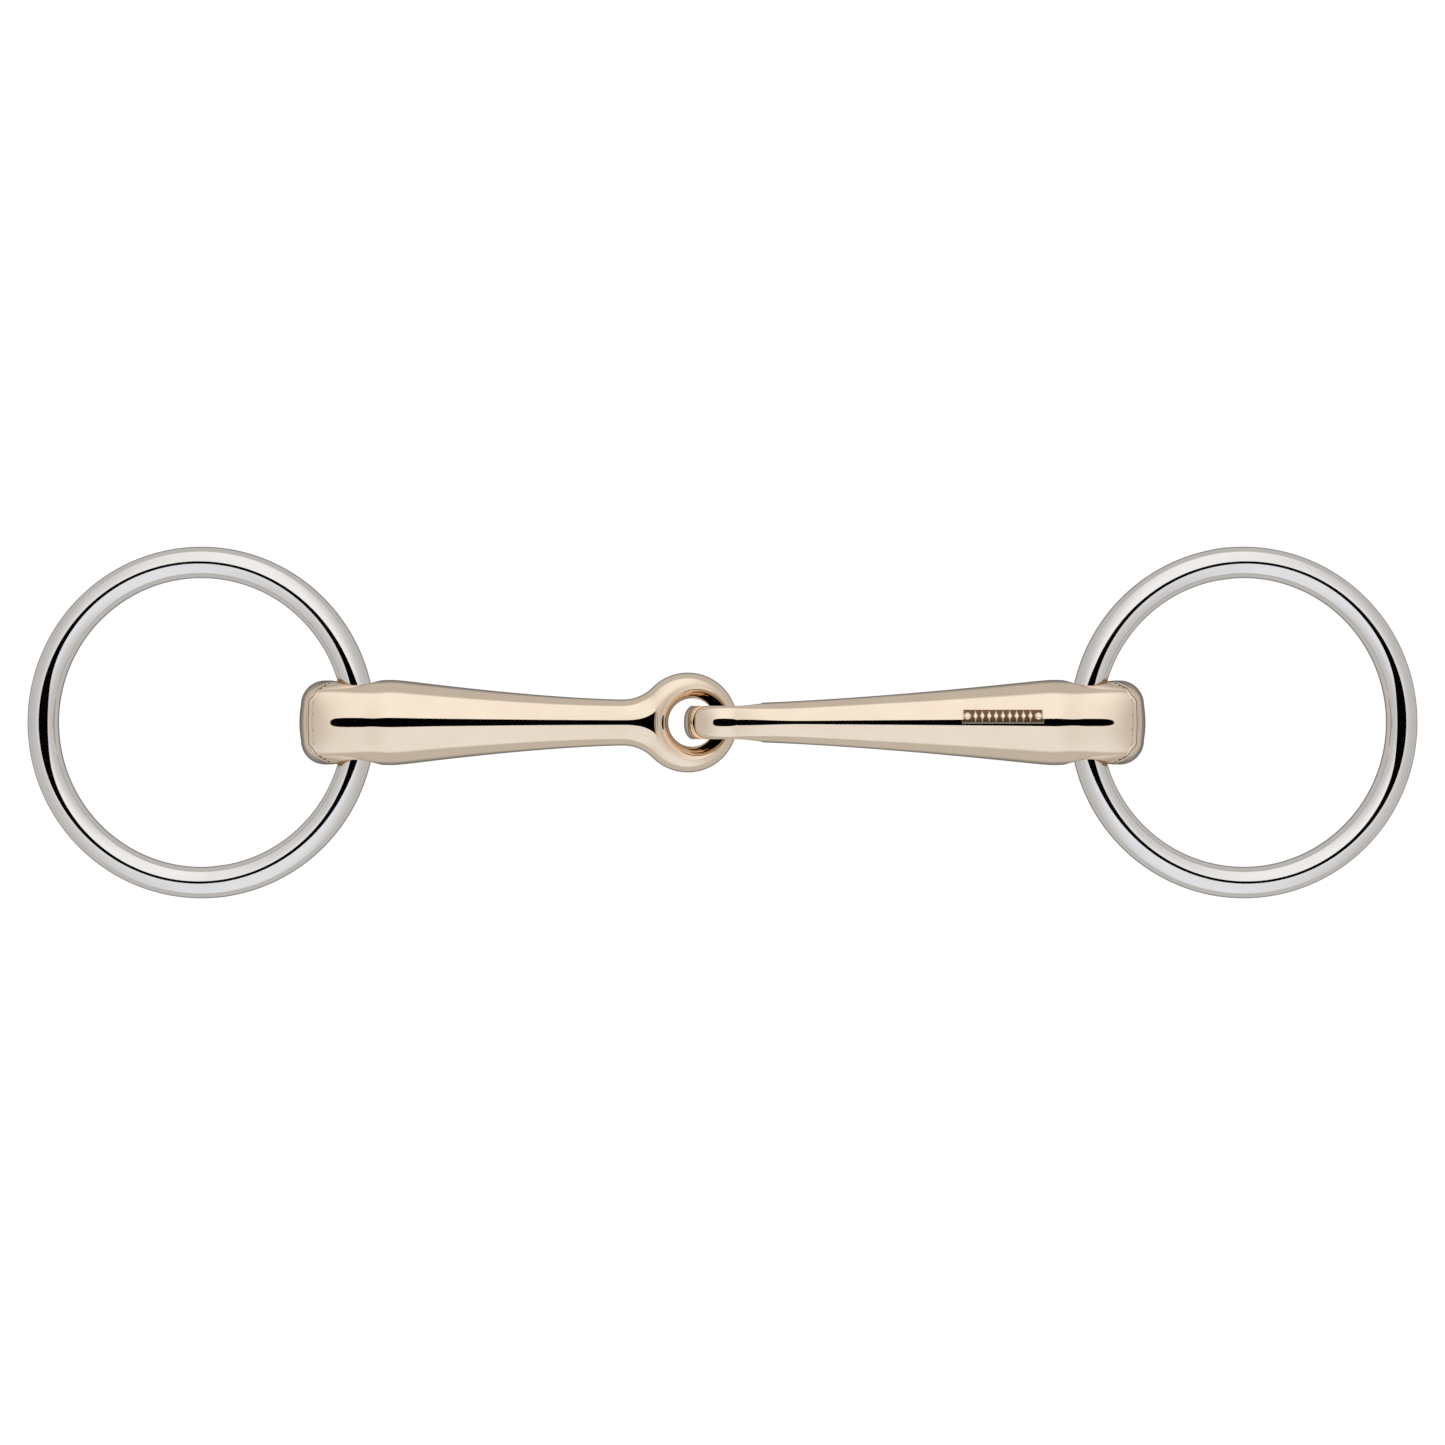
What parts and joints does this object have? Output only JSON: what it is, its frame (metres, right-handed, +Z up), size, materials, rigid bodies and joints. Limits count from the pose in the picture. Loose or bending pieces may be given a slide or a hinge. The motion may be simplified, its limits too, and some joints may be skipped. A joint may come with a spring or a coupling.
{
  "type": "snaffle bit",
  "caption": "Single-jointed loose-ring snaffle bit: round wire rings run in the bored butts of tapered arms linked by an eye joint.",
  "frame": {"origin": "centre of the whole length and breadth, on the surface that the bit lies on", "axes": "+X along the mouthpiece towards the cannon whose eye stands on edge, +Y along both ring bores, +Z up from the surface"},
  "size_m": [0.2654, 0.067, 0.018],
  "materials": {
    "golden_alloy": "cast pale copper alloy, mirror polished",
    "ring_steel": "drawn stainless round wire, mirror polished"
  },
  "bodies": {
    "left_cannon": {"left_cannon": "golden_alloy"},
    "right_cannon": {"right_cannon": "golden_alloy"},
    "left_ring": {"left_ring": "ring_steel"},
    "right_ring": {"right_ring": "ring_steel"}
  },
  "joints": [
    {"name": "centre_joint", "type": "hinge", "parent": "left_cannon", "child": "right_cannon", "pos_m": [0.00047, 0, 0.00785], "axis": [0, 1, 0], "range_deg": [-100, 140]},
    {"name": "left_ring_swivel", "type": "hinge", "parent": "left_cannon", "child": "left_ring", "pos_m": [-0.0695, 0, 0.00885], "axis": [0, 1, 0], "range_deg": [-90, 150]},
    {"name": "right_ring_swivel", "type": "hinge", "parent": "right_cannon", "child": "right_ring", "pos_m": [0.0695, 0, 0.00885], "axis": [0, 1, 0], "range_deg": [-140, 145]}
  ]
}
